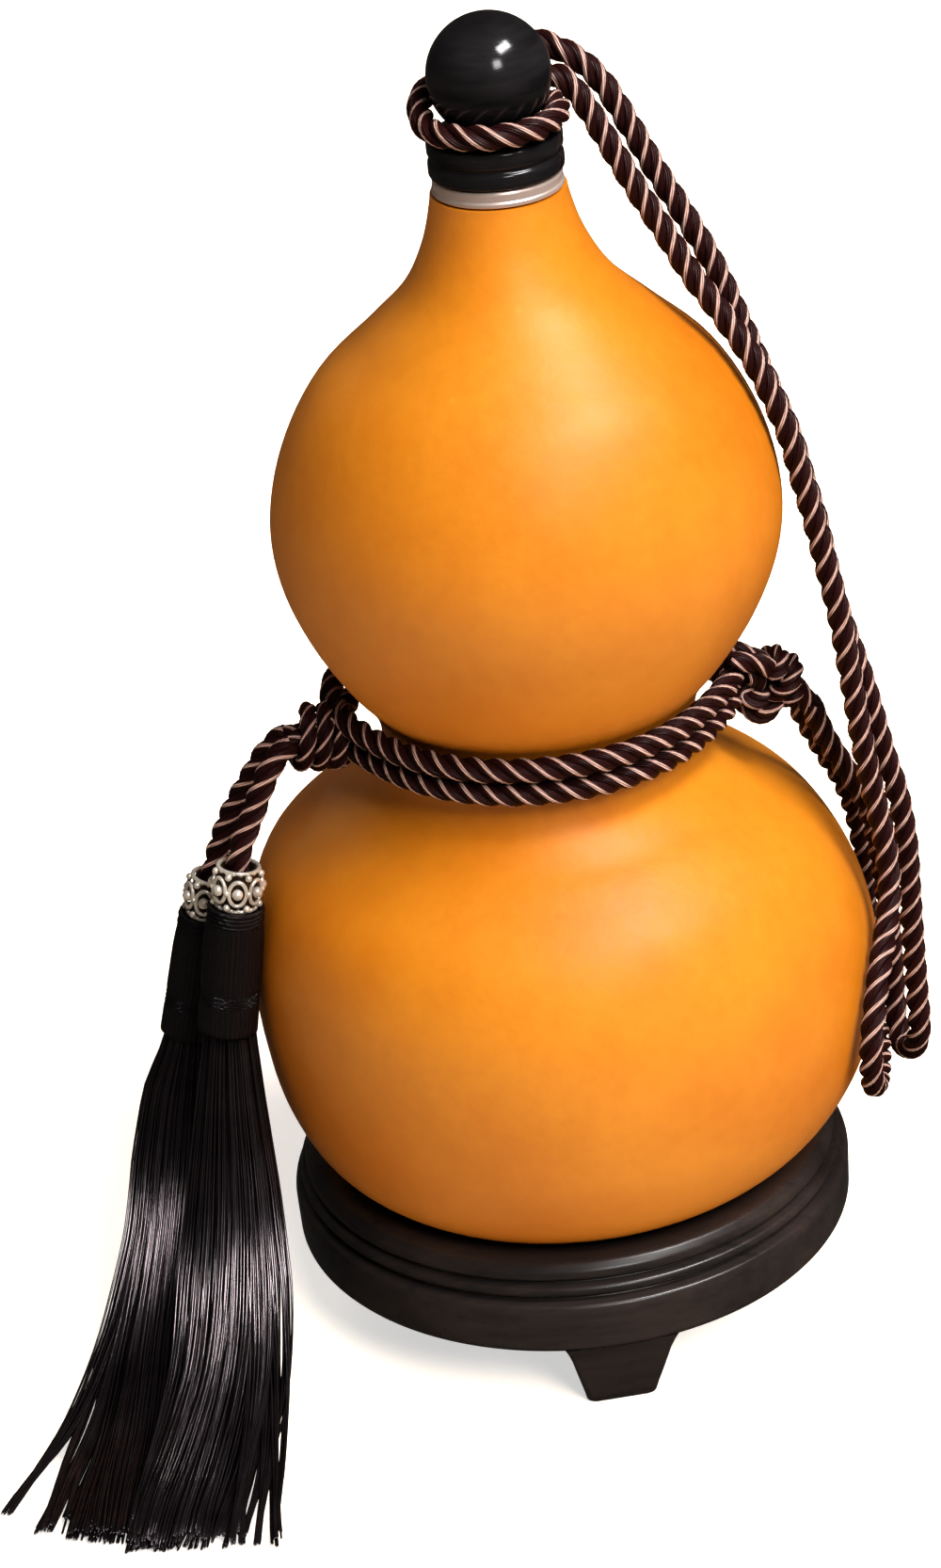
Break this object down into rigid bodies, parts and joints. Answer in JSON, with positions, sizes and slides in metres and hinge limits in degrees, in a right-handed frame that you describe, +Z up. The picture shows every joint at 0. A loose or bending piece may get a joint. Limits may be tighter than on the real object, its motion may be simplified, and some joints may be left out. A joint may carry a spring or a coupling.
{
  "type": "dried gourd flask on a stand",
  "caption": "Varnished dried double-bulbed gourd flask with a turned ball stopper, twisted cord and silk tassels, on a low round footed stand.",
  "frame": {"origin": "on the floor, under the middle of the gourd, its stand and what is tied tight to them", "axes": "+Z up along the gourd's own axis, -Y towards the side with the whole front foot, +X towards the knot that the two long strands end at"},
  "size_m": [0.1636, 0.1269, 0.2318],
  "materials": {
    "gourd_rind": "dried gourd rind under a glossy clear varnish",
    "ring_metal": "polished",
    "stopper_black": "high gloss",
    "stand_wood": "black-brown stain under a satin varnish",
    "cord_silk": "twisted silk, dark maroon with pale threads",
    "bead_metal": "pale plated filigree",
    "tassel_silk": "glossy black silk threads"
  },
  "bodies": {
    "root": {"gourd": "gourd_rind", "mouth_ring": "ring_metal", "stopper": "stopper_black", "stand_plate": "stand_wood", "stand_foot_1": "stand_wood", "stand_foot_2": "stand_wood", "stand_foot_3": "stand_wood", "waist_cord_lower": "cord_silk", "waist_cord_upper": "cord_silk", "neck_loop": "cord_silk", "neck_knot": "cord_silk", "waist_knot_left": "cord_silk", "waist_knot_right": "cord_silk", "leash_cord_front": "cord_silk", "leash_cord_back": "cord_silk", "tassel_cord_front": "cord_silk", "tassel_cord_side": "cord_silk", "bead_front": "bead_metal", "bead_side": "bead_metal", "tassel_head_front": "tassel_silk", "tassel_head_side": "tassel_silk", "tassel_threads_front": "tassel_silk", "tassel_threads_side": "tassel_silk"}
  },
  "joints": []
}
